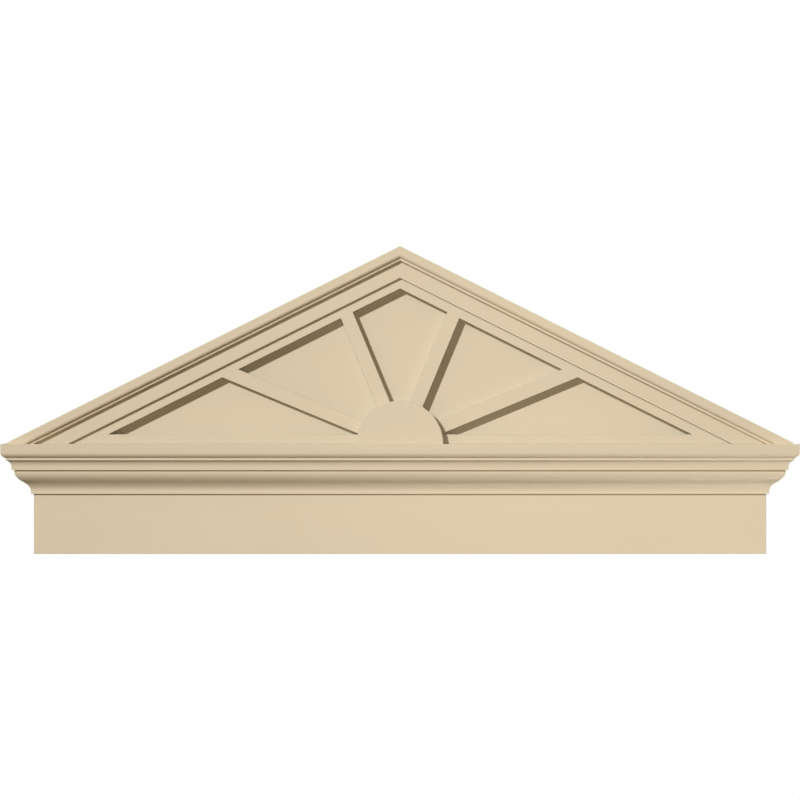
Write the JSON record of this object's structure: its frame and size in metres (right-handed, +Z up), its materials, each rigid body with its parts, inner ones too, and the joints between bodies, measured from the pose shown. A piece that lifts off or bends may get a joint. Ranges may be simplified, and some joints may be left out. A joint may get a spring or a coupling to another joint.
{
  "type": "classical pediment",
  "caption": "Low triangular pediment with a moulded cornice, a plain frieze and a sunburst of flat rays in its gable, flat at the back.",
  "frame": {"origin": "the middle of the flat back: on the plane of the wall, midway along the length and midway between the frieze's bottom edge and the apex", "axes": "+X to the right along the wall as seen from the front, +Y into the wall, +Z up"},
  "size_m": [1.575, 0.077, 0.6112],
  "materials": {
    "primed_tan": "rigid foamed PVC with a satin tan primer coat"
  },
  "bodies": {
    "root": {"frieze_board": "primed_tan", "cornice_bed_moulding": "primed_tan", "cornice_cap": "primed_tan", "back_panel": "primed_tan", "sunburst_panel": "primed_tan", "sunburst_hub": "primed_tan", "raking_board_left": "primed_tan", "raking_moulding_left": "primed_tan", "raking_board_right": "primed_tan", "raking_moulding_right": "primed_tan"}
  },
  "joints": []
}
